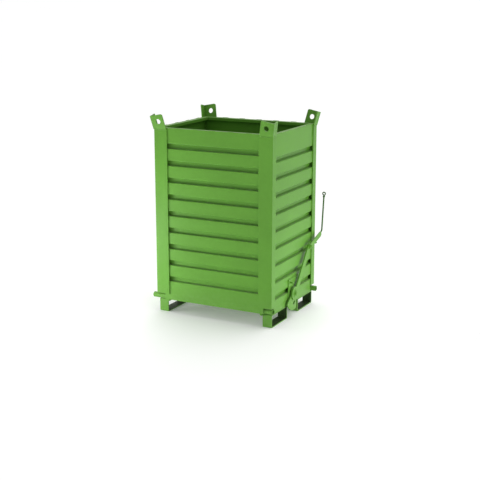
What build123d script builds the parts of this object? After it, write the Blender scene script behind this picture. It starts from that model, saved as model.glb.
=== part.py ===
"""Drop-bottom bulk container: a ribbed steel box on fork hoops with two floor leaves and a latch lever.

Millimetres, +Z up, +X towards the latch end, -Y towards the front long side. The origin is on the ground
under the middle of the whole part, handle included, so the box itself stands a little towards -Y.
"""
import os
from math import atan2, cos, degrees, hypot, radians, sin

from build123d import *

os.makedirs("parts", exist_ok=True)

# Box
box_length = 1000  # along X
box_width = 800  # along Y
rim_height = 1460
box_y = -54.2  # middle of the box, set back from the origin by half the handle's overhang

# Fork hoops under the four corners
hoop_height = 104
hoop_width = 275
hoop_depth = 76
hoop_bar = 8
hoop_inset_x = 10
hoop_inset_y = 27
hoop_bend = 10

# Bottom sills, bent angle
sill_lift = 4  # lower edge above the hoops
sill_height = 48
sill_leg = 40
sill_sheet = 4
sill_end_long = 71  # where a sill stops short of the box's end, to clear the hinge tubes
sill_end_short = 60

# Corner posts, bent angle
post_long = 112  # flange on the long side
post_short = 62  # flange on the short side
post_sheet = 8
post_top = 1445
post_bend = 5

# Ribbed walls
wall_sheet = 3
groove_count = 9
groove_pitch = 130.5
groove_height = 42
groove_depth = 25
groove_flank = 5  # height that a sloped side of a groove takes
groove_low_long = 258  # lower edge of the lowest groove, long sides
groove_low_short = 205  # the same on the short sides
fold_inside = 2  # inner radius of the folds
wall_end_gap = 0.5

# Rim tube
rim_depth = 35
rim_tube_height = 25
rim_wall = 3
rim_gap = 0.2

# Fixed floor strip over the hoops at each end
strip_sheet = 6
strip_depth = 104  # how far in from the end of the box it reaches

# Hinge tubes, their bearings and thrust collars
tube_radius = 21.2
tube_wall = 3.2
tube_y = 36  # axis, in from the long side
tube_z = 126
tube_overhang = {"front": 45, "rear": 32}  # beyond the left end, beyond the right end
running_gap = 0.1
bearing_start = 87.5
bearing_thick = 15
bearing_back = 62
bearing_bottom = 92
collar_start = bearing_start + bearing_thick + 0.4
collar_thick = 3.6
collar_wall = 2.5

# Floor leaves
leaf_end_gap = 107  # from the end of the box to the leaf
leaf_sheet = 4
leaf_top = tube_z + 21
leaf_middle_gap = 1  # each leaf stops this short of the middle
leaf_start = 12.9  # from the tube axis, where the sheet's underside meets the tube
rib_count = 5
rib_sheet = 8
rib_edge = 4  # outermost rib in from the leaf's end
rib_bottom = 100
rib_end = {"front": 349, "rear": 330}  # from the tube axis
lip_back = 14
lip_reach = 18
lip_sheet = 6
lip_gap = 0.3
edge_bar_width = 6
edge_bar_height = 30
edge_bar_y = lip_reach + 10
striker_y = -48
striker_width = 24
striker_height = 14
striker_root = 300  # where it starts, in from the end of the box
striker_out = 4  # how far it stands out of the box

# Latch, from the end of the box outwards. Places are from the middle of the box.
plate_sheet = 8
plate_width = 188
plate_height = 196
plate_z = 210
pivot_y = -30
pivot_z = 189
pin_radius = 12
pin_length = 41
spacer_radius = 28
spacer_length = 5.7
hook_gap = 6  # from the latch plate to the hook plate
hook_sheet = 10
hook_radius = 132
hook_from = -152
hook_to = -70
hook_head = 40
hook_slot = (36, 20)
hook_slot_at = (4, -76)  # from the pivot
hook_slot_turn = 35
bar_sheet = 10
bar_width = 50
bar_head = 52  # radius of the bar's round end on the pivot
foot_y = 13  # where the straight part of the bar starts, a little beside the pivot
foot_z = 220
joint_y = 240
joint_z = 505
hub_radius = 26
hub_length = 4
arm_sheet = 8
arm_width = 40
arm_y = 433
arm_z = 563
open_turn = 50

# Fasteners of the latch
washer_radius = 20
washer_sheet = 3
washer_gap = 0.4
split_pin_radius = 1.6
split_pin_hole = 1.8
split_pin_length = 34
split_pin_eye = 4
bolt_radius = 7.95
bolt_hole = 8
bolt_hex = 13  # corner radius of head and nut
bolt_head = 8
nut_height = 8.5
bolt_spare = 2.5

# Pull rod and ring
rod_radius = 6
rod_start_y, rod_start_z = 375, 547
rod_bend_y, rod_bend_z = 491, 577
rod_top_y, rod_top_z = 522, 848
rod_bend_radius = 26
knot_radius = 9
knot_length = 14
ring_radius = 11.5
ring_wire = 4.5

# Stop and rest for the lever
stop_radius = 7
stop_along = 100  # from the pivot, along the opened bar
rest_y = 352
rest_width = 30
rest_sheet = 6
rest_drop = 46
rest_gap = 11  # under the arm

# Lifting lugs, angle section leaning out over the corners
lug_lean = 0.2  # outward run per unit of height, on both sides
lug_long = 108
lug_short = 62
lug_sheet = 8
lug_proud_x = 2.7  # how far the lug's outer corner stands outside the post's
lug_proud_y = 0.3
lug_length = 104
lug_hole_radius = 20
lug_hole_in = 60  # hole centre from the outer corner, along the long flange
lug_hole_up = 52  # hole centre from the foot, along the lug
lug_round = 14

left_x, right_x = -box_length / 2, box_length / 2
front_y, rear_y = box_y - box_width / 2, box_y + box_width / 2
sill_bottom = hoop_height + sill_lift
wall_foot = sill_bottom + sill_height
sides = {"left": (left_x, 1), "right": (right_x, -1)}
faces = {"front": (front_y, 1), "rear": (rear_y, -1)}
corners = {f"{f}_{s}": (x, y, ix, iy) for f, (y, iy) in faces.items() for s, (x, ix) in sides.items()}


def save(part, name):
    """Labels a finished piece and writes it as its own file."""
    part.label = name
    export_step(part, f"parts/{name}.step")


def across(x):
    """Plane square to X: its own x is Y and its own y is Z."""
    return Plane.YZ.offset(x)


def along(y):
    """Plane square to Y that faces -Y: its own x is X and its own y is Z."""
    return Plane.XZ.offset(-y)


# Corner posts: bent angle standing outside the wall sheets
for name, (x, y, ix, iy) in corners.items():
    with BuildPart() as post:
        with BuildSketch(Plane.XY.offset(wall_foot)):
            with BuildLine():
                Polyline(
                    (x, y),
                    (x + ix * post_long, y),
                    (x + ix * post_long, y + iy * post_sheet),
                    (x + ix * post_sheet, y + iy * post_sheet),
                    (x + ix * post_sheet, y + iy * post_short),
                    (x, y + iy * post_short),
                    close=True,
                )
            make_face()
        extrude(amount=post_top - wall_foot)
        uprights = post.edges().filter_by(Axis.Z)
        fold = min(uprights, key=lambda e: hypot(e.center().X - x, e.center().Y - y))
        fillet(fold, radius=post_bend)
    save(post.part, f"post_{name}")

# Lifting lugs: angle section cut square to its own leaning axis, level at its foot
for name, (x, y, ix, iy) in corners.items():
    rise = Vector(-ix * lug_lean, -iy * lug_lean, 1).normalized()
    inward = Vector(ix, 0, 0)
    inward = (inward - rise * inward.dot(rise)).normalized()
    foot = (x - ix * lug_proud_x, y - iy * lug_proud_y, post_top)
    base = Plane(origin=foot, x_dir=inward, z_dir=rise)
    flip = 1 if base.y_dir.Y * iy > 0 else -1
    with BuildPart() as lug:
        with BuildSketch(base):
            with BuildLine():
                Polyline(
                    (0, 0),
                    (lug_long, 0),
                    (lug_long, flip * lug_sheet),
                    (lug_sheet, flip * lug_sheet),
                    (lug_sheet, flip * lug_short),
                    (0, flip * lug_short),
                    close=True,
                )
            make_face()
        extrude(amount=lug_length)
        lug_foot = lug.faces().sort_by(Axis((0, 0, 0), tuple(rise)))[0]
        extrude(lug_foot, amount=lug_short)
        split(bisect_by=Plane.XY.offset(post_top), keep=Keep.TOP)
        face_plane = Plane(origin=base.origin, x_dir=inward, z_dir=base.y_dir * -flip)
        up_sign = 1 if face_plane.y_dir.dot(rise) > 0 else -1
        with BuildSketch(face_plane):
            with Locations((lug_hole_in, up_sign * lug_hole_up)):
                Circle(lug_hole_radius)
        extrude(amount=-lug_sheet, mode=Mode.SUBTRACT)
        plate_edges = lug.edges().filter_by(Axis((0, 0, 0), tuple(base.y_dir)))
        far_corner = base.origin + inward * lug_long + rise * lug_length
        tip = [e for e in plate_edges if (e.center() - far_corner).length < lug_sheet]
        fillet(tip, radius=lug_round)
    save(lug.part, f"lug_{name}")


def wall_outline(lowest_groove):
    """Closed outline of a ribbed sheet with sharp folds, as depth behind its outer face and height."""
    lap = wall_sheet * (hypot(groove_flank, groove_depth) - groove_flank) / groove_depth
    back = groove_depth + wall_sheet
    outer = [(0, wall_foot)]
    inner = [(wall_sheet, wall_foot)]
    for k in range(groove_count):
        low = lowest_groove + k * groove_pitch
        high = low + groove_height
        outer += [(0, low), (groove_depth, low + groove_flank)]
        outer += [(groove_depth, high - groove_flank), (0, high)]
        inner += [(wall_sheet, low - lap), (back, low + groove_flank - lap)]
        inner += [(back, high - groove_flank + lap), (wall_sheet, high + lap)]
    return outer + [(0, rim_height), (wall_sheet, rim_height)] + inner[::-1]


def round_folds(profile, sheet_face):
    """Rounds every fold of a wall's profile, keeping the sheet one thickness round each bend."""
    folds = [v for v in profile.vertices() if wall_foot + 1 < v.Y < rim_height - 1]
    depth = {v: abs(v.X - sheet_face) for v in folds}
    crown = [v for v in folds if depth[v] < wall_sheet / 2 or depth[v] > groove_depth + 1]
    hollow = [v for v in folds if v not in crown]
    fillet(crown, radius=fold_inside + wall_sheet)
    fillet(hollow, radius=fold_inside)


# Ribbed walls: long sides run between the posts, short sides between the long ones
wall_in = post_sheet + groove_depth + wall_sheet + 1
for name, (y, iy) in faces.items():
    sheet_face = y + iy * post_sheet
    with BuildPart() as wall:
        with BuildSketch(across(left_x + post_sheet + wall_end_gap)) as profile:
            with BuildLine():
                Polyline(*[(sheet_face + iy * d, h) for d, h in wall_outline(groove_low_long)], close=True)
            make_face()
            round_folds(profile, sheet_face)
        extrude(amount=box_length - 2 * (post_sheet + wall_end_gap))
    save(wall.part, f"wall_{name}")
for name, (x, ix) in sides.items():
    sheet_face = x + ix * post_sheet
    with BuildPart() as wall:
        with BuildSketch(along(front_y + wall_in)) as profile:
            with BuildLine():
                Polyline(*[(sheet_face + ix * d, h) for d, h in wall_outline(groove_low_short)], close=True)
            make_face()
            round_folds(profile, sheet_face)
        extrude(amount=-(box_width - 2 * wall_in))
    save(wall.part, f"wall_{name}")

# Rim tubes behind the top band of the walls
rim_face = post_sheet + wall_sheet + rim_gap
rim_in = rim_face + rim_depth + rim_gap
rim_z = rim_height - rim_tube_height / 2
for name, (y, iy) in faces.items():
    with BuildPart() as rim:
        with BuildSketch(across(left_x + rim_face)):
            with Locations((y + iy * (rim_face + rim_depth / 2), rim_z)):
                RectangleRounded(rim_depth, rim_tube_height, rim_wall)
                Rectangle(rim_depth - 2 * rim_wall, rim_tube_height - 2 * rim_wall, mode=Mode.SUBTRACT)
        extrude(amount=box_length - 2 * rim_face)
    save(rim.part, f"rim_{name}")
for name, (x, ix) in sides.items():
    with BuildPart() as rim:
        with BuildSketch(along(front_y + rim_in)):
            with Locations((x + ix * (rim_face + rim_depth / 2), rim_z)):
                RectangleRounded(rim_depth, rim_tube_height, rim_wall)
                Rectangle(rim_depth - 2 * rim_wall, rim_tube_height - 2 * rim_wall, mode=Mode.SUBTRACT)
        extrude(amount=-(box_width - 2 * rim_in))
    save(rim.part, f"rim_{name}")


def sill_outline(face, inward):
    """Angle section: upright leg outside, flat leg on top turned inwards."""
    outer = face + inward * post_sheet
    return [
        (outer, sill_bottom),
        (outer, wall_foot),
        (outer + inward * sill_leg, wall_foot),
        (outer + inward * sill_leg, wall_foot - sill_sheet),
        (outer + inward * sill_sheet, wall_foot - sill_sheet),
        (outer + inward * sill_sheet, sill_bottom),
    ]


# Bottom sills that carry the walls
for name, (y, iy) in faces.items():
    with BuildPart() as sill:
        with BuildSketch(across(left_x + sill_end_long)):
            with BuildLine():
                Polyline(*sill_outline(y, iy), close=True)
            make_face()
        extrude(amount=box_length - 2 * sill_end_long)
    save(sill.part, f"sill_{name}")
for name, (x, ix) in sides.items():
    with BuildPart() as sill:
        with BuildSketch(along(front_y + sill_end_short)):
            with BuildLine():
                Polyline(*sill_outline(x, ix), close=True)
            make_face()
        extrude(amount=-(box_width - 2 * sill_end_short))
    save(sill.part, f"sill_{name}")

# Fork hoops: flat bar bent into a closed rectangle, one under each corner
for name, (x, y, ix, iy) in corners.items():
    with BuildPart() as hoop:
        with BuildSketch(across(x + ix * hoop_inset_x)):
            with Locations((y + iy * (hoop_inset_y + hoop_width / 2), hoop_height / 2)):
                RectangleRounded(hoop_width, hoop_height, hoop_bend)
                RectangleRounded(
                    hoop_width - 2 * hoop_bar,
                    hoop_height - 2 * hoop_bar,
                    hoop_bend - hoop_bar + 1,
                    mode=Mode.SUBTRACT,
                )
        extrude(amount=ix * hoop_depth)
    save(hoop.part, f"fork_hoop_{name}")

# Fixed floor strips, and the bearing plates that stand beside them
for name, (x, ix) in sides.items():
    near = x + ix * (post_sheet + sill_sheet + 0.5)
    far = x + ix * strip_depth
    with BuildPart() as strip:
        with BuildSketch(Plane.XY.offset(hoop_height)):
            with Locations(((near + far) / 2, box_y)):
                Rectangle(abs(far - near), box_width - 2 * (bearing_back + 0.5))
        extrude(amount=strip_sheet)
    save(strip.part, f"floor_strip_{name}")
for name, (x, y, ix, iy) in corners.items():
    outside = y + iy * (post_sheet + sill_sheet + 0.2)
    inside = y + iy * bearing_back
    top = wall_foot - sill_sheet - 0.2
    with BuildPart() as bearing:
        with BuildSketch(across(x + ix * bearing_start)):
            with Locations(((outside + inside) / 2, (bearing_bottom + top) / 2)):
                RectangleRounded(abs(inside - outside), top - bearing_bottom, sill_sheet)
            with Locations((y + iy * tube_y, tube_z)):
                Circle(tube_radius + running_gap, mode=Mode.SUBTRACT)
        extrude(amount=ix * bearing_thick)
    save(bearing.part, f"bearing_{name}")

# Floor leaves: sheet on ribs, welded to a tube that turns in the bearings
leaf_from = left_x + leaf_end_gap
leaf_length = box_length - 2 * leaf_end_gap
leaf_under = leaf_top - leaf_sheet
leaf_reach = box_width / 2 - tube_y - leaf_middle_gap
rib_step = (leaf_length - 2 * rib_edge - rib_sheet) / (rib_count - 1)
overhang_side = {"front": "left", "rear": "right"}
for name, (y, iy) in faces.items():
    axis_y = y + iy * tube_y
    with BuildPart() as sheet:
        with BuildSketch(across(leaf_from)):
            with Locations((axis_y + iy * (leaf_start + leaf_reach) / 2, leaf_top - leaf_sheet / 2)):
                Rectangle(leaf_reach - leaf_start, leaf_sheet)
        extrude(amount=leaf_length)
    save(sheet.part, f"{name}_leaf_sheet")

    with BuildPart() as tube:
        beyond_left = tube_overhang[name] if overhang_side[name] == "left" else 0
        with BuildSketch(across(left_x - beyond_left)):
            with Locations((axis_y, tube_z)):
                Circle(tube_radius)
                Circle(tube_radius - tube_wall, mode=Mode.SUBTRACT)
        extrude(amount=box_length + tube_overhang[name])
    save(tube.part, f"{name}_hinge_tube")

    with BuildPart() as ribs:
        for k in range(rib_count):
            with BuildSketch(across(leaf_from + rib_edge + k * rib_step)):
                with BuildLine():
                    Polyline(
                        (axis_y + iy * 2, leaf_under),
                        (axis_y + iy * rib_end[name], leaf_under),
                        (axis_y + iy * rib_end[name], rib_bottom),
                        (axis_y + iy * 60, rib_bottom),
                        (axis_y + iy * 15, tube_z - 18),
                        (axis_y + iy * 2, tube_z),
                        close=True,
                    )
                make_face()
                with Locations((axis_y, tube_z)):
                    Circle(tube_radius, mode=Mode.SUBTRACT)
            extrude(amount=rib_sheet)
    save(ribs.part, f"{name}_leaf_ribs")

    # Thrust collars between each bearing and the leaf keep the tube from sliding
    with BuildPart() as collars:
        for x, ix in sides.values():
            with BuildSketch(across(x + ix * collar_start)):
                with Locations((axis_y, tube_z)):
                    Circle(tube_radius + collar_wall)
                    Circle(tube_radius, mode=Mode.SUBTRACT)
            extrude(amount=ix * collar_thick)
    save(collars.part, f"{name}_tube_collars")

# Front leaf's lip, which holds the rear leaf up, and the rear leaf's edge bar
with BuildPart() as lip:
    with BuildSketch(across(leaf_from)):
        with Locations((box_y + (lip_reach - lip_back) / 2, leaf_under - lip_gap - lip_sheet / 2)):
            Rectangle(lip_reach + lip_back, lip_sheet)
    extrude(amount=leaf_length)
save(lip.part, "front_leaf_lip")
with BuildPart() as edge_bar:
    with BuildSketch(across(leaf_from)):
        with Locations((box_y + edge_bar_y, leaf_under - edge_bar_height / 2)):
            Rectangle(edge_bar_width, edge_bar_height)
    extrude(amount=leaf_length)
save(edge_bar.part, "rear_leaf_edge_bar")

# Striker: bar under the front leaf's ribs that reaches out below the sill to the latch
with BuildPart() as striker:
    with BuildSketch(Plane.XY.offset(rib_bottom - striker_height)):
        with Locations((right_x + (striker_out - striker_root) / 2, box_y + striker_y)):
            Rectangle(striker_root + striker_out, striker_width)
    extrude(amount=striker_height)
    fillet(striker.edges().filter_by(Axis.Y).group_by(Axis.X)[-1], radius=4)
save(striker.part, "striker")

# Latch plate on the end wall, with its pivot pin and spacer
plate_back = right_x - post_sheet
plate_front = plate_back + plate_sheet
hook_back = plate_front + hook_gap
hook_front = hook_back + hook_sheet
bar_front = hook_front + bar_sheet
hub_front = bar_front + hub_length
arm_front = bar_front + arm_sheet
pivot = (box_y + pivot_y, pivot_z)
bar_foot = (box_y + foot_y, foot_z)
joint = (box_y + joint_y, joint_z)
arm_end = (box_y + arm_y, arm_z)
with BuildPart() as latch_plate:
    with BuildSketch(across(plate_back)):
        with Locations((box_y, plate_z)):
            RectangleRounded(plate_width, plate_height, 8)
    extrude(amount=plate_sheet)
    chamfer(latch_plate.faces().sort_by(Axis.X)[-1].edges(), length=1.5)
save(latch_plate.part, "latch_plate")

split_pin_x = hub_front + washer_gap + washer_sheet + split_pin_radius + 0.3
with BuildPart() as pivot_pin:
    with BuildSketch(across(plate_front)):
        with Locations(pivot):
            Circle(pin_radius)
    extrude(amount=pin_length)
    chamfer(pivot_pin.faces().sort_by(Axis.X)[-1].edges(), length=2)
    with BuildSketch(Plane.XY.offset(pivot_z - pin_radius)):
        with Locations((split_pin_x, pivot[0])):
            Circle(split_pin_hole)
    extrude(amount=2 * pin_radius, mode=Mode.SUBTRACT)
save(pivot_pin.part, "pivot_pin")
with BuildPart() as spacer:
    with BuildSketch(across(plate_front)):
        with Locations(pivot):
            Circle(spacer_radius)
            Circle(pin_radius, mode=Mode.SUBTRACT)
    extrude(amount=spacer_length)
save(spacer.part, "pivot_spacer")
with BuildPart() as washer:
    with BuildSketch(across(hub_front + washer_gap)):
        with Locations(pivot):
            Circle(washer_radius)
            Circle(pin_radius + running_gap, mode=Mode.SUBTRACT)
    extrude(amount=washer_sheet)
save(washer.part, "pivot_washer")
with BuildPart() as split_pin:
    with BuildSketch(Plane.XY.offset(pivot_z - split_pin_length / 2)):
        with Locations((split_pin_x, pivot[0])):
            Circle(split_pin_radius)
    extrude(amount=split_pin_length)
    eye_at = (split_pin_x, pivot[0], pivot_z + split_pin_length / 2 + split_pin_eye)
    with BuildSketch(Plane(origin=eye_at, x_dir=(0, 1, 0), z_dir=(0, 0, 1))):
        with Locations((split_pin_eye, 0)):
            Circle(split_pin_radius)
    revolve(axis=Axis(eye_at, (1, 0, 0)), revolution_arc=360)
save(split_pin.part, "split_pin")

# Hook plate: sector that swings under the striker, with its round head on the pin
with BuildPart() as hook:
    with BuildSketch(across(hook_back)):
        with BuildLine():
            turns = [radians(a) for a in (hook_from, (hook_from + hook_to) / 2, hook_to)]
            rim_points = [(pivot[0] + hook_radius * cos(a), pivot_z + hook_radius * sin(a)) for a in turns]
            ThreePointArc(*rim_points)
            shoulders = [(pivot[0] + hook_head - 2, pivot_z), (pivot[0] - hook_head + 4, pivot_z)]
            Polyline(rim_points[2], *shoulders, rim_points[0])
        make_face()
        with Locations(pivot):
            Circle(hook_head)
            Circle(pin_radius + running_gap, mode=Mode.SUBTRACT)
        with Locations((pivot[0] + hook_slot_at[0], pivot_z + hook_slot_at[1])):
            SlotOverall(*hook_slot, rotation=hook_slot_turn, mode=Mode.SUBTRACT)
    extrude(amount=hook_sheet)
save(hook.part, "hook_plate")


def flat_bar(start, end, width):
    """Round-ended flat bar between two points of the sketch plane."""
    with Locations(((start[0] + end[0]) / 2, (start[1] + end[1]) / 2)):
        turn = degrees(atan2(end[1] - start[1], end[0] - start[0]))
        SlotCenterToCenter(hypot(end[0] - start[0], end[1] - start[1]), width, rotation=turn)


# Lever bar from the pivot up to the joint, its hub, and the arm from the joint out to the rod
with BuildPart() as lever_bar:
    with BuildSketch(across(hook_front)):
        flat_bar(bar_foot, joint, bar_width)
        with Locations(pivot):
            Circle(bar_head)
            Circle(pin_radius + running_gap, mode=Mode.SUBTRACT)
        with Locations(joint):
            Circle(bolt_hole, mode=Mode.SUBTRACT)
    extrude(amount=bar_sheet)
save(lever_bar.part, "lever_bar")
with BuildPart() as hub:
    with BuildSketch(across(bar_front)):
        with Locations(pivot):
            Circle(hub_radius)
            Circle(pin_radius + running_gap, mode=Mode.SUBTRACT)
    extrude(amount=hub_length)
    fillet(hub.faces().sort_by(Axis.X)[-1].edges().sort_by(SortBy.LENGTH)[-1], radius=2)
save(hub.part, "lever_hub")
with BuildPart() as lever_arm:
    with BuildSketch(across(bar_front)):
        flat_bar(joint, arm_end, arm_width)
        with Locations(joint):
            Circle(bolt_hole, mode=Mode.SUBTRACT)
    extrude(amount=arm_sheet)
save(lever_arm.part, "lever_arm")

# Bolt and nut that clamp the arm to the bar
with BuildPart() as joint_bolt:
    with BuildSketch(across(hook_front - bolt_head)):
        with Locations(joint):
            RegularPolygon(bolt_hex, 6)
    extrude(amount=bolt_head)
    with BuildSketch(across(hook_front)):
        with Locations(joint):
            Circle(bolt_radius)
    extrude(amount=arm_front + nut_height + bolt_spare - hook_front)
    chamfer(joint_bolt.faces().sort_by(Axis.X)[-1].edges(), length=1)
save(joint_bolt.part, "joint_bolt")
with BuildPart() as joint_nut:
    with BuildSketch(across(arm_front)):
        with Locations(joint):
            RegularPolygon(bolt_hex, 6)
            Circle(bolt_hole, mode=Mode.SUBTRACT)
    extrude(amount=nut_height)
save(joint_nut.part, "joint_nut")

# Pull rod: round bar welded behind the arm, bent up to its knot and the ring
rod_x = bar_front - rod_radius
rod_start = (rod_x, box_y + rod_start_y, rod_start_z)
rod_bend = (rod_x, box_y + rod_bend_y, rod_bend_z)
rod_top = (rod_x, box_y + rod_top_y, rod_top_z)
with BuildPart() as rod:
    with BuildLine() as rod_path:
        FilletPolyline(rod_start, rod_bend, rod_top, radius=rod_bend_radius)
    with BuildSketch(Plane(origin=rod_start, z_dir=rod_path.line % 0)):
        Circle(rod_radius)
    sweep()
save(rod.part, "pull_rod")
rod_rise = (Vector(*rod_top) - Vector(*rod_bend)).normalized()
with BuildPart() as knot:
    with BuildSketch(Plane(origin=rod_top, z_dir=rod_rise)):
        Circle(knot_radius)
    extrude(amount=knot_length)
    chamfer(knot.edges().filter_by(GeomType.CIRCLE), length=1.5)
save(knot.part, "rod_collar")
ring_at = Vector(*rod_top) + rod_rise * (knot_length + ring_radius + ring_wire + 0.05)
with BuildPart() as ring:
    with BuildSketch(Plane(origin=ring_at, x_dir=(1, 0, 0), z_dir=(0, 0, 1))):
        with Locations((ring_radius, 0)):
            Circle(ring_wire)
    revolve(axis=Axis(tuple(ring_at), (0, 1, 0)), revolution_arc=360)
save(ring.part, "pull_ring")

# Stop beside the opened bar
bar_turn = atan2(joint_z - foot_z, joint_y - foot_y)
bar_aside = (foot_y - pivot_y) * sin(bar_turn) - (foot_z - pivot_z) * cos(bar_turn)
stop_angle = bar_turn + radians(open_turn)
stop_side = bar_width / 2 - bar_aside + stop_radius + 1
stop_y = pivot[0] + stop_along * cos(stop_angle) - stop_side * sin(stop_angle)
stop_z = pivot_z + stop_along * sin(stop_angle) + stop_side * cos(stop_angle)
with BuildPart() as lever_stop:
    with BuildSketch(across(plate_front)):
        with Locations((stop_y, stop_z)):
            Circle(stop_radius)
    extrude(amount=bar_front - 2 - plate_front)
    fillet(lever_stop.faces().sort_by(Axis.X)[-1].edges(), radius=2)
save(lever_stop.part, "lever_stop")

# Rest on the rear post that the arm lies over while the latch is shut
arm_slope = (arm_z - joint_z) / (arm_y - joint_y)
arm_under = joint_z + (rest_y + rest_width / 2 - joint_y) * arm_slope - arm_width / 2 * hypot(1, arm_slope)
rest_top = arm_under - rest_gap
with BuildPart() as rest:
    with BuildSketch(along(box_y + rest_y - rest_width / 2)):
        with BuildLine():
            Polyline(
                (right_x, rest_top - rest_drop),
                (right_x + rest_sheet, rest_top - rest_drop),
                (right_x + rest_sheet, rest_top - rest_sheet),
                (arm_front, rest_top - rest_sheet),
                (arm_front, rest_top),
                (right_x, rest_top),
                close=True,
            )
        make_face()
    extrude(amount=-rest_width)
save(rest.part, "lever_rest")
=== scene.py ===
"""Drop-bottom bulk container: sheet, angle, flat bar and tube, welded up and sprayed green all over."""
from math import cos, pi, radians, sin

import bpy
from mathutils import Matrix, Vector


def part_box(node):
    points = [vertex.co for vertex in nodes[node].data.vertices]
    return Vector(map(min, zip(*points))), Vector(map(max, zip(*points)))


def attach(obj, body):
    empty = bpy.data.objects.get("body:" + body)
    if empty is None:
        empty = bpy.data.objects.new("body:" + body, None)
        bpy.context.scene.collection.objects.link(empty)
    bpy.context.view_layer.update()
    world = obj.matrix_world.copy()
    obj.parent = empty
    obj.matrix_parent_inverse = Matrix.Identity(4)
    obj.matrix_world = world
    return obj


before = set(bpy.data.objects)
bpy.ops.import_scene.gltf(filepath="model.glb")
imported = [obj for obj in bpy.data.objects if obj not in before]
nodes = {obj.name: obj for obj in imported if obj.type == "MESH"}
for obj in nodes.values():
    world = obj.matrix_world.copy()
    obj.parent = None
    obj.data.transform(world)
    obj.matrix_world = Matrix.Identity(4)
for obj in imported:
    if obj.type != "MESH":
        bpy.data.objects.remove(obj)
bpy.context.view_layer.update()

# Ribbed walls and rim. Cold-rolled 3 mm sheet, folded on a press brake into nine grooves and a plain
# band at the top, stiffened behind the band by a rectangular tube. Sprayed with one satin coat, which
# has a fine orange peel over faint lengthwise press marks.
SPRAY_GREEN = (0.122, 0.328, 0.038)
THIN_GREEN = (0.215, 0.460, 0.095)
DUST = (0.42, 0.43, 0.33)
BARE_STEEL = (0.20, 0.19, 0.17)
SATIN = 0.33  # roughness of clean, whole paint
PRESS_MARK_DEPTH = 0.0012
PEEL_DEPTH = 0.00016


class Wire:
    """A value inside a recipe. Sums and products of wires add the nodes that work them out."""

    def __init__(self, recipe, socket):
        self.recipe = recipe
        self.socket = socket

    def sum(self, operation, *values, clamp=False):
        node = self.recipe.add("ShaderNodeMath", {"operation": operation, "use_clamp": clamp})
        for place, value in zip(node.inputs, values):
            self.recipe.join(place, value)
        return Wire(self.recipe, node.outputs[0])

    def __add__(self, other):
        return self.sum("ADD", self, other)

    def __mul__(self, other):
        return self.sum("MULTIPLY", self, other)

    def __sub__(self, other):
        return self.sum("SUBTRACT", self, other)

    def __rsub__(self, other):
        return self.sum("SUBTRACT", other, self)

    __radd__, __rmul__ = __add__, __mul__

    def kept(self):
        """The value held between 0 and 1."""
        return self.sum("ADD", self, 0.0, clamp=True)

    def size(self):
        """The value without its sign."""
        return self.sum("ABSOLUTE", self)

    def step(self, low, high):
        """0 below low and 1 above high, smooth between them."""
        ramp = {"interpolation_type": "SMOOTHSTEP"}
        node = self.recipe.add("ShaderNodeMapRange", ramp, Value=self, From_Min=low, From_Max=high)
        return Wire(self.recipe, node.outputs["Result"])


class Recipe:
    """A tree of nodes, and the one way in which nodes are added to it."""

    def __init__(self, tree):
        self.tree = tree

    def join(self, place, value):
        """Gives a socket its value, or a link where the value comes from another node."""
        if isinstance(value, Wire):
            value = value.socket
        if isinstance(value, bpy.types.NodeSocket):
            self.tree.links.new(value, place)
        elif isinstance(value, tuple) and len(value) == 3 and len(place.default_value) == 4:
            place.default_value = (*value, 1)
        else:
            place.default_value = value

    def fill(self, node, **inputs):
        """Joins each socket that is named, with _ for a space."""
        for name, value in inputs.items():
            self.join(node.inputs[name.replace("_", " ")], value)

    def add(self, kind, settings=None, **inputs):
        """Adds a node: its settings first, then the value or the link of each socket named."""
        node = self.tree.nodes.new(kind)
        for name, value in (settings or {}).items():
            setattr(node, name, value)
        self.fill(node, **inputs)
        return node


class Finish(Recipe):
    """One material, built from nodes that are added one after the other."""

    def __init__(self, name):
        self.material = bpy.data.materials.new(name)
        self.material.use_nodes = True
        super().__init__(self.material.node_tree)
        self.shader = self.tree.nodes["Principled BSDF"]
        self.place = self.add("ShaderNodeTexCoord").outputs["Object"]

    def noise(self, scale, stretch=(1, 1, 1), detail=2.0, roughness=0.5):
        """Cloudy pattern with about `scale` lumps to a metre, stretched along the axes."""
        spread = self.add("ShaderNodeMapping", Vector=self.place, Scale=stretch)
        cloud = self.add(
            "ShaderNodeTexNoise",
            Vector=spread.outputs["Vector"],
            Scale=scale,
            Detail=detail,
            Roughness=roughness,
        )
        return Wire(self, cloud.outputs["Fac"])

    def blend(self, share, first, second):
        """Colour that goes from the first to the second as share goes from 0 to 1."""
        node = self.add("ShaderNodeMix", {"data_type": "RGBA"}, Factor=share)
        self.join(node.inputs[6], first)
        self.join(node.inputs[7], second)
        return node.outputs[2]

    def part_of(self, vector, axis):
        """One coordinate of a vector."""
        split = self.add("ShaderNodeSeparateXYZ", Vector=vector)
        return Wire(self, split.outputs[axis])


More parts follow.
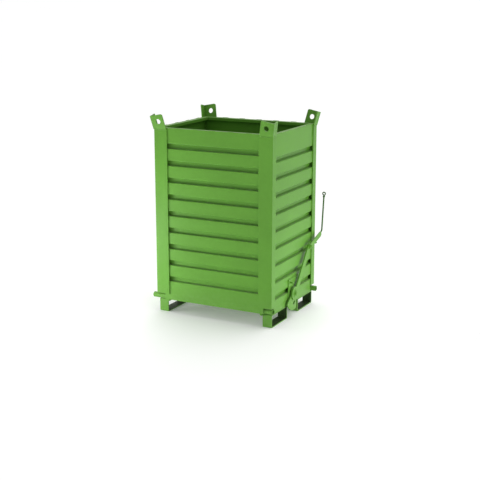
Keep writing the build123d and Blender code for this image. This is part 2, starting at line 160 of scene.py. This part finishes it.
def sprayed(name, green=SPRAY_GREEN, marks=(1, 1, 1), chips=0.0, edge=0.0014, peel=0.35, dirt_or_shade=None):
    """Sprayed satin enamel. marks stretches the press marks, chips is how far handling has worn it, edge
    is how wide its worn edges are, peel is how strong its orange peel is, and the last argument is a
    function that adds the piece's own dirt or painted shade."""
    finish = Finish(name)
    cloud = finish.noise(1.7, detail=3.0)
    mottle = finish.noise(34.0, detail=4.0, roughness=0.6)
    press = finish.noise(9.0, stretch=marks, detail=2.0)
    orange_peel = finish.noise(330.0, detail=1.0)
    grit = finish.noise(120.0, detail=5.0, roughness=0.7)
    scuff = finish.noise(26.0, stretch=(0.35, 0.35, 2.2), detail=6.0, roughness=0.72)

    # The shading of a rounded edge turns away from the flat face, which shows where an edge is.
    soft_edge = finish.add("ShaderNodeBevel", {"samples": 4}, Radius=edge)
    true_face = finish.add("ShaderNodeNewGeometry")
    bend = finish.add("ShaderNodeVectorMath", {"operation": "DOT_PRODUCT"})
    finish.join(bend.inputs[0], soft_edge.outputs["Normal"])
    finish.join(bend.inputs[1], true_face.outputs["True Normal"])
    edge_share = (1.0 - Wire(finish, bend.outputs["Value"])).step(0.004, 0.12)

    # Dust lies on faces that look up, and low down where the floor's dirt reaches.
    facing_up = finish.part_of(true_face.outputs["True Normal"], "Z").step(0.75, 0.98)
    height = finish.part_of(finish.place, "Z")
    low_down = 1.0 - height.step(0.02, 0.34)
    dusty = (facing_up * 0.34 + low_down * 0.10) * (mottle.step(0.30, 0.72) * 0.7 + 0.3)

    # Paint varies a fifth to each side of its colour, and is thin on edges and where it is scuffed.
    shade = (cloud.step(0.25, 0.75) - 0.5) * 0.34 + (mottle - 0.5) * 0.36 + (press - 0.5) * 0.3
    darker = tuple(c * 0.80 for c in green)
    lighter = tuple(min(1.0, c * 1.20) for c in green)
    paint = finish.blend((shade + 0.5).kept(), darker, lighter)
    worn_thin = edge_share * (grit.step(0.35, 0.65) * 0.6 + 0.2)
    scuffed = scuff.step(0.60, 0.74) * cloud.step(0.42, 0.62)
    paint = finish.blend((worn_thin * 0.9 + scuffed * 0.22).kept(), paint, THIN_GREEN)
    paint = finish.blend(dusty, paint, DUST)
    # The piece's own dirt or painted shade, where it has any.
    if dirt_or_shade:
        paint = dirt_or_shade(finish, paint, height, grit)

    # Chips bare the steel along edges, more of them the more a piece is knocked about.
    chip_grit = grit.step(0.66 - 0.16 * chips, 0.70 - 0.16 * chips)
    chipped = edge_share * chip_grit * min(1.0, chips * 1.4)
    rough = SATIN + (mottle - 0.5) * 0.20 + (press - 0.5) * 0.12
    rough = rough + scuffed * 0.14 + dusty * 0.5 + chipped * 0.15

    waves = finish.add(
        "ShaderNodeBump",
        Strength=0.5,
        Distance=PRESS_MARK_DEPTH,
        Height=press,
        Normal=soft_edge.outputs["Normal"],
    )
    skin = finish.add(
        "ShaderNodeBump",
        Strength=peel,
        Distance=PEEL_DEPTH,
        Height=orange_peel - chipped * 1.2,
        Normal=waves.outputs["Normal"],
    )
    finish.fill(
        finish.shader,
        Base_Color=finish.blend(chipped, paint, BARE_STEEL),
        Metallic=chipped * 0.7,
        Roughness=rough,
        Specular_IOR_Level=0.15,
        Coat_Weight=0.03,
        Coat_Roughness=0.2,
        Normal=skin.outputs["Normal"],
    )
    return finish.material


def paint_all(material, *starts):
    """Gives every piece whose name begins so this finish."""
    for name, piece in nodes.items():
        if name.startswith(starts):
            piece.data.materials.clear()
            piece.data.materials.append(material)


long_sheet = sprayed("folded_sheet_long", marks=(0.12, 1, 1))
short_sheet = sprayed("folded_sheet_short", marks=(1, 0.12, 1))
paint_all(long_sheet, "wall_front", "wall_rear", "rim_front", "rim_rear")
paint_all(short_sheet, "wall_left", "wall_right", "rim_left", "rim_right")

# Corner posts and lifting lugs. 8 mm plate bent to an angle; the lugs are short lengths of the same
# angle, leaned outwards so that a container stacked on top finds its place, and burnt through for
# the crane hook. Hooks and chains knock the paint off their edges first.
paint_all(sprayed("corner_post", marks=(1, 1, 0.1), chips=0.15), "post_")
paint_all(sprayed("lifting_lug", chips=0.45), "lug_")

# Bottom sills, fork hoops, fixed floor strips and bearing plates. Angle and flat bar, under the box
# where forks scrape along them, so this is where the paint has suffered most. Inside each hoop the
# colour is a painted shade, near-black.
# Colour of the painted shade inside the hoops.
HOOP_SHADE = (0.014, 0.024, 0.010)
BOX_MIDDLE = -0.0542
HOOP_MIDDLE = 0.2355  # from the middle of the box to the middle of a hoop
POCKET_SIDE = (0.1296, 0.1300)  # from the middle of a hoop, where the painted shade ends
POCKET_FLOOR = (0.0076, 0.0079)
POCKET_ROOF = (0.0961, 0.0964)


def painted_hoop_shade(finish, paint, height, grit):
    """Painted shade: near-black colour over everything inside the bar of a hoop."""
    from_middle = finish.part_of(finish.place, "Y") - BOX_MIDDLE
    from_hoop = (from_middle.size() - HOOP_MIDDLE).size()
    # Painted shade: near-black blended over the inside of the hoop, between its sides, floor and roof.
    inside = (1.0 - from_hoop.step(*POCKET_SIDE)) * height.step(*POCKET_FLOOR)
    inside = inside * (1.0 - height.step(*POCKET_ROOF)) * (grit.step(0.2, 0.7) * 0.25 + 0.72)
    return finish.blend(inside, paint, HOOP_SHADE)


paint_all(sprayed("sill_angle", chips=0.25), "sill_", "bearing_", "floor_strip_")
# The hoops get their painted shade inside.
paint_all(sprayed("fork_hoop", chips=0.7, dirt_or_shade=painted_hoop_shade), "fork_hoop_")

# Floor leaves. 4 mm sheet on five ribs each, welded to a tube that turns in the bearing plates. Goods
# slide over the top face, which is scuffed along the way they leave.
leaf_finish = sprayed("floor_leaf", marks=(1, 0.1, 1), chips=0.5)
tube_finish = sprayed("hinge_tube", chips=0.3)
paint_all(leaf_finish, "front_leaf", "rear_leaf", "striker")
paint_all(tube_finish, "front_hinge_tube", "rear_hinge_tube", "front_tube", "rear_tube")

# Latch lever. Hook plate, bar and arm of 8 and 10 mm plate, bolted at the joint and pinned to a plate
# on the end wall, with a bent rod and a ring to pull it by, which are painted a darker green all over.
ROD_GREEN = (0.052, 0.150, 0.020)
paint_all(sprayed("latch_lever", chips=0.35), "hook_plate", "lever_", "latch_plate")
paint_all(sprayed("pull_rod_paint", green=ROD_GREEN, chips=0.3, edge=0.0004), "pull_", "rod_collar")
paint_all(sprayed("latch_fastener", chips=0.5, edge=0.0007), "pivot_", "split_pin", "joint_")

# Weld beads, MIG, laid after the pieces were tacked in place: short stitches where a wall's ridges meet
# a post, round the lugs' feet, over the hoops and along the leaves' ribs, with the small pieces of the
# latch welded all round. Each bead is a row of ripples 4 mm apart, thinner where it starts and stops.
HALF_LONG, HALF_WIDE = 0.5, 0.4  # of the box
RIPPLE, RIPPLE_DIP = 0.004, 0.26  # length, and the share of the bead's size that it dips
BEAD, FINE_BEAD = 0.0032, 0.0026  # radius
THINNEST, THICKEST = 0.88, 1.08  # how far a hand-laid bead strays from its size
END_SIZE, END_GROWTH = 0.35, 12.0  # size where a bead starts and stops, and how fast it fills out
STITCH, RIM_STITCH, TUBE_STITCH = 0.045, 0.05, 0.06

beads = bpy.data.node_groups.new("weld_bead", "GeometryNodeTree")
for socket_name, socket_kind in (
    ("Seams", "NodeSocketGeometry"),
    ("Bead size", "NodeSocketFloat"),
    ("Half ripple", "NodeSocketFloat"),
    ("Seed", "NodeSocketInt"),
    ("Paint", "NodeSocketMaterial"),
):
    beads.interface.new_socket(socket_name, in_out="INPUT", socket_type=socket_kind)
beads.interface.new_socket("Beads", in_out="OUTPUT", socket_type="NodeSocketGeometry")

weld = Recipe(beads)
given = weld.add("NodeGroupInput").outputs
seam_lines = weld.add("GeometryNodeMeshToCurve", Mesh=given["Seams"])
rings = weld.add(
    "GeometryNodeResampleCurve",
    {"mode": "LENGTH"},
    Curve=seam_lines.outputs["Curve"],
    Length=given["Half ripple"],
)
order = Wire(weld, weld.add("GeometryNodeInputIndex").outputs["Index"])
along_seam = Wire(weld, weld.add("GeometryNodeSplineParameter").outputs["Factor"])
uneven = weld.add("FunctionNodeRandomValue", {"data_type": "FLOAT"}, Seed=given["Seed"])
uneven.inputs[2].default_value = THINNEST
uneven.inputs[3].default_value = THICKEST
ripple = order.sum("MODULO", order, 2.0) * RIPPLE_DIP + (1.0 - RIPPLE_DIP)
ends = order.sum("MINIMUM", along_seam, 1.0 - along_seam) * END_GROWTH + END_SIZE
swell = ripple * ends.kept() * Wire(weld, uneven.outputs[1]) * Wire(weld, given["Bead size"])
section = weld.add("GeometryNodeCurvePrimitiveCircle", Resolution=8, Radius=1.0)
rope = weld.add(
    "GeometryNodeCurveToMesh",
    Curve=rings.outputs["Curve"],
    Profile_Curve=section.outputs["Curve"],
    Scale=swell,
    Fill_Caps=True,
)
smooth = weld.add("GeometryNodeSetShadeSmooth", Geometry=rope.outputs["Mesh"])
whole = weld.add("GeometryNodeRealizeInstances", Geometry=smooth.outputs["Geometry"])
coated = weld.add("GeometryNodeSetMaterial", Geometry=whole.outputs["Geometry"], Material=given["Paint"])
weld.add("NodeGroupOutput", Beads=coated.outputs["Geometry"])


def stitched(start, end, count, length):
    """That many welds of one length, spread evenly between two points."""
    start, end = Vector(start), Vector(end)
    half = (end - start).normalized() * length / 2
    middles = [start.lerp(end, (k + 0.5) / count) for k in range(count)]
    return [[m - half, m + half] for m in middles]


def all_round(x, y, z, radius, steps=32):
    """A weld round a boss that stands out towards the latch end."""
    turns = [2 * pi * k / steps for k in range(steps + 1)]
    return [[Vector((x, y + radius * cos(t), z + radius * sin(t))) for t in turns]]


def middle_of(node):
    """Centre of a piece."""
    low, high = (Vector(corner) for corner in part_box(node))
    return (low + high) / 2


def lay(body, seams, size, seed):
    """Lays a body's beads along its seams, as one piece that moves with it."""
    points = [p for seam in seams for p in seam]
    edges, first = [], 0
    for seam in seams:
        edges += [(first + k, first + k + 1) for k in range(len(seam) - 1)]
        first += len(seam)
    guide = bpy.data.meshes.new(f"{body}_seams")
    guide.from_pydata(points, edges, [])
    piece = bpy.data.objects.new(f"{body}_welds", guide)
    bpy.context.scene.collection.objects.link(piece)
    growth = piece.modifiers.new("beads", "NODES")
    growth.node_group = beads
    values = {"Bead size": size, "Half ripple": RIPPLE / 2, "Seed": seed, "Paint": weld_paint}
    for item in beads.interface.items_tree:
        if item.in_out == "INPUT" and item.name in values:
            growth[item.identifier] = values[item.name]
    grown = piece.evaluated_get(bpy.context.evaluated_depsgraph_get())
    solid = bpy.data.meshes.new_from_object(grown)
    piece.modifiers.remove(growth)
    piece.data = solid
    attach(piece, body)


weld_paint = sprayed("weld_bead", chips=0.2, edge=0.0005, peel=0.2)

# Beads on the box: posts to the walls' ridges, lugs to posts, hoops to sills, the rim to the walls, and
# the plate, stop and rest of the latch to the end wall. Each stitch stops short of the piece's end.
POST_LONG, POST_SHORT, POST_SHEET = 0.112, 0.062, 0.008
LONG_RIDGES, SHORT_RIDGES = (0.1475, 1.4525), (0.2257, 1.4002)  # lowest and highest
LUG_FOOT, LUG_PROUD = 1.445, 0.0017
LUG_LONG, LUG_SHORT, LUG_BARE = 0.106, 0.060, 0.008  # flanges, and how much of each has no weld
HOOP_EDGES, HOOP_TOP = (0.490, 0.414), 0.104
HOOP_FAR, HOOP_RUN = 0.292, 0.255  # in from the long side, and back out along the hoop
RIM_IN, RIM_TOP = 0.0111, 1.460
RIM_LONG, RIM_SHORT = 0.38, 0.33  # half of what is welded
PLATE_SIDES = ((0.160, 0.202), (0.250, 0.298))  # above and below the groove
PLATE_TOP_IN, PLATE_TOP_SPARE = 0.492, 0.01
STOP_RADIUS = 0.007
REST_STITCH = 0.036

box_seams = []
for end in (-1, 1):
    for face in (-1, 1):
        long_edge = (end * (HALF_LONG - POST_LONG), BOX_MIDDLE + face * (HALF_WIDE - POST_SHEET))
        short_edge = (end * (HALF_LONG - POST_SHEET), BOX_MIDDLE + face * (HALF_WIDE - POST_SHORT))
        for edge, ridges, count in ((long_edge, LONG_RIDGES, 10), (short_edge, SHORT_RIDGES, 9)):
            box_seams += stitched((*edge, ridges[0]), (*edge, ridges[1]), count, STITCH)
        lug = (end * (HALF_LONG + LUG_PROUD), BOX_MIDDLE + face * HALF_WIDE, LUG_FOOT)
        lug_ends = (lug[0] - end * LUG_LONG, lug[1] - face * LUG_SHORT)
        box_seams += stitched(lug, (lug_ends[0], lug[1], LUG_FOOT), 1, LUG_LONG - LUG_BARE)
        box_seams += stitched(lug, (lug[0], lug_ends[1], LUG_FOOT), 1, LUG_SHORT - LUG_BARE)
        hoop_y = BOX_MIDDLE + face * (HALF_WIDE - HOOP_FAR)
        for hoop_x in HOOP_EDGES:
            hoop_from = (end * hoop_x, hoop_y, HOOP_TOP)
            hoop_to = (end * hoop_x, hoop_y + face * HOOP_RUN, HOOP_TOP)
            box_seams += stitched(hoop_from, hoop_to, 3, RIM_STITCH)
    rim_y = BOX_MIDDLE + end * (HALF_WIDE - RIM_IN)
    rim_x = end * (HALF_LONG - RIM_IN)
    box_seams += stitched((-RIM_LONG, rim_y, RIM_TOP), (RIM_LONG, rim_y, RIM_TOP), 5, RIM_STITCH)
    rim_from = (rim_x, BOX_MIDDLE - RIM_SHORT, RIM_TOP)
    rim_to = (rim_x, BOX_MIDDLE + RIM_SHORT, RIM_TOP)
    box_seams += stitched(rim_from, rim_to, 4, RIM_STITCH)
plate_low, plate_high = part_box("latch_plate")
for y in (plate_low[1], plate_high[1]):
    for lowest, highest in PLATE_SIDES:
        box_seams += [[Vector((plate_low[0], y, lowest)), Vector((plate_low[0], y, highest))]]
plate_from = (PLATE_TOP_IN, plate_low[1] + PLATE_TOP_SPARE, plate_high[2])
plate_to = (PLATE_TOP_IN, plate_high[1] - PLATE_TOP_SPARE, plate_high[2])
box_seams += stitched(plate_from, plate_to, 2, RIM_STITCH)
box_seams += all_round(HALF_LONG, *middle_of("lever_stop").yz, STOP_RADIUS)
rest_low, rest_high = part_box("lever_rest")
for y in (rest_low[1], rest_high[1]):
    box_seams += stitched((HALF_LONG, y, rest_low[2]), (HALF_LONG, y, rest_high[2]), 1, REST_STITCH)
lay("box", box_seams, BEAD, seed=3)

# Beads under the floor leaves: both sides of each rib to the sheet in three stitches, and the sheet's
# edge to its tube in longer ones, because the leaf's whole weight hangs there.
RIB_COUNT, RIB_PITCH = 5, 0.1925
FIRST_RIB = (-0.389, -0.381)  # its two sides
RIB_NEAR, RIB_FAR, RIB_TOP = 0.035, 0.325, 0.143
TUBE_IN, TUBE_REACH = 0.036, 0.385
TUBE_SIDE, TUBE_SEAM = 0.0118, 0.1436  # where the sheet lies on the tube, and how high
for body, face in (("front_leaf", -1), ("rear_leaf", 1)):
    hinge_y = BOX_MIDDLE + face * (HALF_WIDE - TUBE_IN)
    near, far = hinge_y - face * RIB_NEAR, hinge_y - face * RIB_FAR
    leaf_seams = []
    for rib in range(RIB_COUNT):
        for side in FIRST_RIB:
            rib_x = side + RIB_PITCH * rib
            leaf_seams += stitched((rib_x, near, RIB_TOP), (rib_x, far, RIB_TOP), 3, STITCH)
    seam_y = hinge_y - face * TUBE_SIDE
    tube_from, tube_to = (-TUBE_REACH, seam_y, TUBE_SEAM), (TUBE_REACH, seam_y, TUBE_SEAM)
    leaf_seams += stitched(tube_from, tube_to, 7, TUBE_STITCH)
    lay(body, leaf_seams, BEAD, seed=5)

# Beads on the lever, laid with a finer wire: all round the hub on the bar, and along both sides of the
# pull rod's foot where it lies on the arm.
HUB_FACE, HUB_RADIUS = 0.526, 0.026
ROD_FACE, ROD_SIDE, ROD_STITCH = 0.5245, 0.005, 0.058
ROD_FROM, ROD_TO, ROD_SLOPE = (0.378, 0.548), (0.438, 0.5635), 0.25
lever_seams = all_round(HUB_FACE, *middle_of("lever_hub").yz, HUB_RADIUS)
for aside in (-ROD_SIDE, ROD_SIDE):
    rod_from, rod_to = (
        (ROD_FACE, BOX_MIDDLE + out - aside * ROD_SLOPE, up + aside) for out, up in (ROD_FROM, ROD_TO)
    )
    lever_seams += stitched(rod_from, rod_to, 1, ROD_STITCH)
lay("latch_lever", lever_seams, FINE_BEAD, seed=7)

# Floor, light and camera. A white studio with one broad lamp high behind the rear long side, and two
# soft ones near the floor: one by the front left corner and a weaker one by the latch end.
FLOOR_REACH = 400
FLOOR_WHITE = (0.93, 0.93, 0.93)
FLOOR_GLOW = 0.14
AIR_LIGHT = 0.42
LAMP_WIDTH = 0.9
CAMERA_DOWN, CAMERA_ROUND = 13.77, 27.43  # degrees

floor_mesh = bpy.data.meshes.new("studio_floor")
floor_corners = [(x, y, 0) for x, y in ((-1, -1), (1, -1), (1, 1), (-1, 1))]
floor_mesh.from_pydata([Vector(c) * FLOOR_REACH for c in floor_corners], [], [(0, 1, 2, 3)])
floor = bpy.data.objects.new("studio_floor", floor_mesh)
bpy.context.scene.collection.objects.link(floor)
ground = Finish("studio_ground")
ground.fill(
    ground.shader,
    Base_Color=FLOOR_WHITE,
    Roughness=0.6,
    Specular_IOR_Level=0.2,
    Emission_Color=(1, 1, 1),
    Emission_Strength=FLOOR_GLOW,
)
floor_mesh.materials.append(ground.material)

sky = bpy.data.worlds.new("studio_air")
sky.use_nodes = True
air = Recipe(sky.node_tree)
air.fill(sky.node_tree.nodes["Background"], Color=(1, 1, 1), Strength=AIR_LIGHT)
bpy.context.scene.world = sky
bpy.context.scene.view_settings.view_transform = "Standard"


def lamp(name, kind, turn, rise, power, distance=5.0, target=0.8):
    """A lamp that faces the container, turn round from the latch end and rise above the floor."""
    light = bpy.data.lights.new(name, kind)
    light.energy = power
    holder = bpy.data.objects.new(name, light)
    bpy.context.scene.collection.objects.link(holder)
    away = Vector((cos(turn) * cos(rise), sin(turn) * cos(rise), sin(rise)))
    holder.location = Vector((0, 0, target)) + away * distance
    holder.rotation_euler = away.to_track_quat("Z", "Y").to_euler()
    holder.visible_camera = False
    return light


lamp("rear_lamp", "SUN", radians(80), radians(66), 1.87).angle = radians(80)
lamp("left_lamp", "AREA", radians(218), radians(3), 41, distance=2.1, target=0.0).size = LAMP_WIDTH
lamp("end_lamp", "AREA", radians(6), radians(3), 15, distance=1.9, target=0.0).size = LAMP_WIDTH

camera_data = bpy.data.cameras.new("camera")
camera_data.lens = 76.0
camera_data.clip_end = 1000
camera = bpy.data.objects.new("camera", camera_data)
camera.location = (3.6146, -6.9628, 2.4593)
camera.rotation_euler = (radians(90 - CAMERA_DOWN), 0, radians(CAMERA_ROUND))
bpy.context.scene.collection.objects.link(camera)
bpy.context.scene.camera = camera
